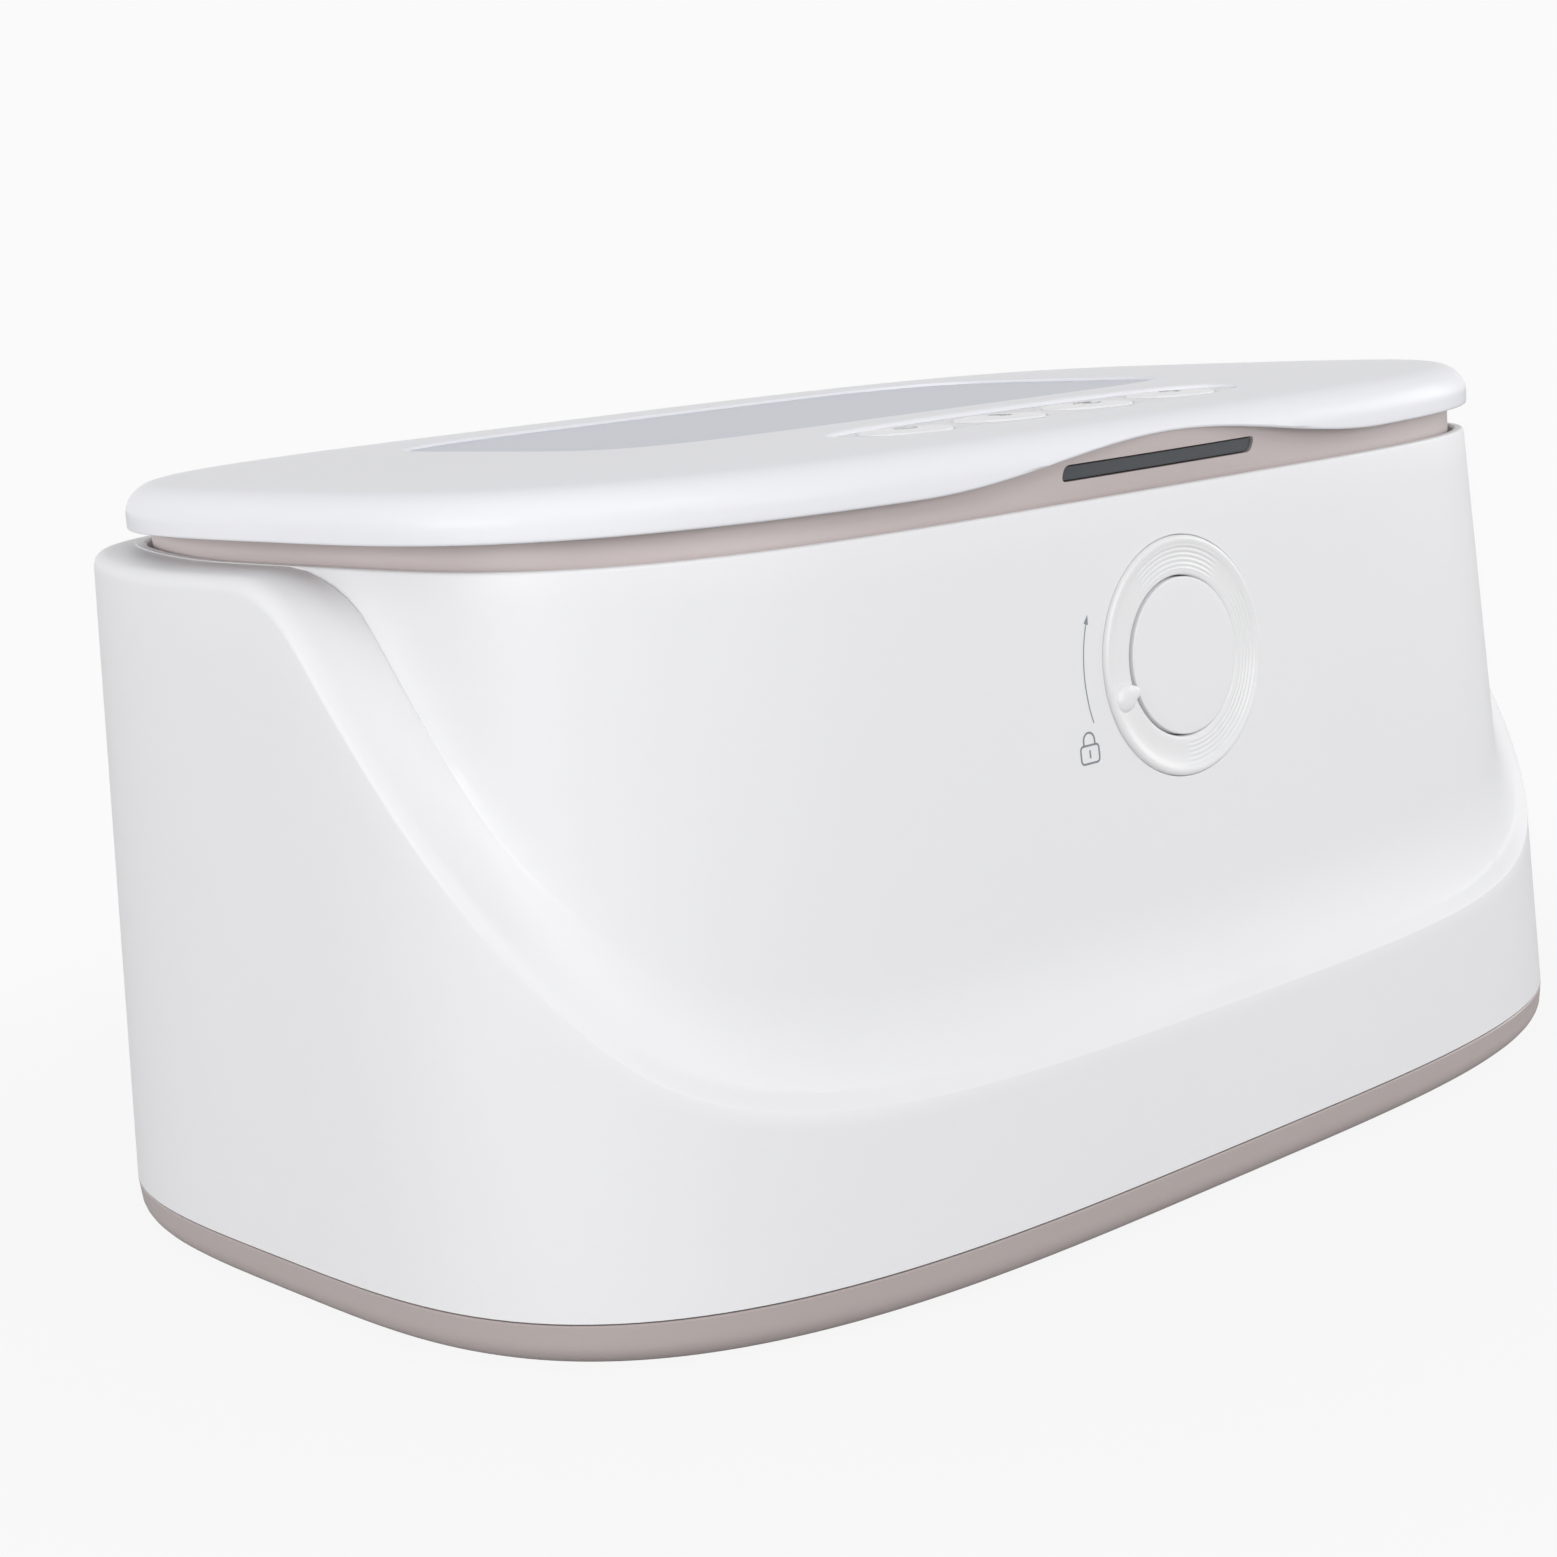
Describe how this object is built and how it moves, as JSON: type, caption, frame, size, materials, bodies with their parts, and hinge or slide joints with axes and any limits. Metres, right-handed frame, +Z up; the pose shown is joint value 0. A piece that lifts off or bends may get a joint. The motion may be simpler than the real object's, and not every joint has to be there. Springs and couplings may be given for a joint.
{
  "type": "baby wipe warmer",
  "caption": "Table-top baby wipe warmer with a heated chamber, a hinged lid with a window and touch keys, a push-button latch and a child-lock ring.",
  "frame": {"origin": "on the surface that the feet stand on, under the middle of the body", "axes": "+X to the right along the body's length, +Y to the back where the hinges and the power inlet are, +Z up; the round button faces -Y"},
  "size_m": [0.25, 0.17, 0.1226],
  "materials": {
    "white_plastic": "satin white ABS",
    "gloss_white_plastic": "gloss white ABS",
    "chamber_plastic": "plain white polypropylene",
    "taupe_plastic": "satin taupe ABS",
    "window_plastic": "pale bluish translucent plastic",
    "smoked_lens": "smoked gloss lens",
    "silicone": "matt pale silicone",
    "rubber": "matt black rubber",
    "black_plastic": "plain black plastic",
    "steel": "zinc-plated steel",
    "aluminium": "plain aluminium sheet",
    "heating_film": "amber polyimide film",
    "insulation_foam": "matt grey foam",
    "circuit_board": "green solder mask"
  },
  "bodies": {
    "body": {"outer_housing": "white_plastic", "base_pan": "taupe_plastic", "rubber_foot_1": "rubber", "rubber_foot_2": "rubber", "rubber_foot_3": "rubber", "rubber_foot_4": "rubber", "base_screw_1": "steel", "base_screw_2": "steel", "base_screw_3": "steel", "base_screw_4": "steel", "inner_tank": "chamber_plastic", "heat_spreader": "aluminium", "heating_film": "heating_film", "insulation_pad": "insulation_foam", "retainer_plate": "steel", "retainer_screw_1": "steel", "retainer_screw_2": "steel", "retainer_screw_3": "steel", "retainer_screw_4": "steel", "thermal_cutoff": "steel", "temperature_sensor": "steel", "power_board": "circuit_board", "dc_jack": "black_plastic", "heater_lead": "rubber", "hinge_pin_left": "steel", "hinge_pin_right": "steel", "hinge_spring_left": "steel", "hinge_spring_right": "steel", "button_bracket": "chamber_plastic", "bracket_screw_1": "steel", "bracket_screw_2": "steel", "latch_pin": "steel", "button_spring": "steel"},
    "lid": {"lid_cover": "white_plastic", "lid_liner": "taupe_plastic", "view_window": "window_plastic", "control_panel": "gloss_white_plastic", "control_board": "circuit_board", "light_bar_lens": "smoked_lens", "light_bar_board": "circuit_board", "lid_gasket": "silicone", "lid_striker": "chamber_plastic", "lid_screw_1": "steel", "lid_screw_2": "steel", "lid_screw_3": "steel", "lid_screw_4": "steel"},
    "button": {"push_button": "white_plastic"},
    "lock": {"lock_ring": "gloss_white_plastic"},
    "latch": {"latch_lever": "chamber_plastic"},
    "key_1": {"panel_button_1": "gloss_white_plastic"},
    "key_2": {"panel_button_2": "gloss_white_plastic"},
    "key_3": {"panel_button_3": "gloss_white_plastic"},
    "key_4": {"panel_button_4": "gloss_white_plastic"}
  },
  "joints": [
    {"name": "lid_open", "type": "hinge", "parent": "body", "child": "lid", "pos_m": [0, 0.08, 0.1132], "axis": [-1, 0, 0], "range_deg": [0, 95]},
    {"name": "button_press", "type": "slide", "parent": "body", "child": "button", "axis": [0, 0.9984, -0.0564], "range_m": [0, 0.003], "stiffness_N_per_m": 300, "deforming": ["button_spring"]},
    {"name": "latch_turn", "type": "hinge", "parent": "body", "child": "latch", "pos_m": [0, -0.06493, 0.09699], "axis": [1, 0, 0], "range_deg": [0, 18]},
    {"name": "lock_turn", "type": "hinge", "parent": "body", "child": "lock", "pos_m": [0, -0.07606, 0.0843], "axis": [0, 0.9984, -0.0564], "range_deg": [0, 47]},
    {"name": "key_press_1", "type": "slide", "parent": "lid", "child": "key_1", "axis": [0, 0, -1], "range_m": [0, 0.0008], "stiffness_N_per_m": 300},
    {"name": "key_press_2", "type": "slide", "parent": "lid", "child": "key_2", "axis": [0, 0, -1], "range_m": [0, 0.0008], "stiffness_N_per_m": 300},
    {"name": "key_press_3", "type": "slide", "parent": "lid", "child": "key_3", "axis": [0, 0, -1], "range_m": [0, 0.0008], "stiffness_N_per_m": 300},
    {"name": "key_press_4", "type": "slide", "parent": "lid", "child": "key_4", "axis": [0, 0, -1], "range_m": [0, 0.0008], "stiffness_N_per_m": 300}
  ],
  "couplings": [
    {"joint": "latch_turn", "follows": "button_press", "rad_per_m": 80}
  ]
}
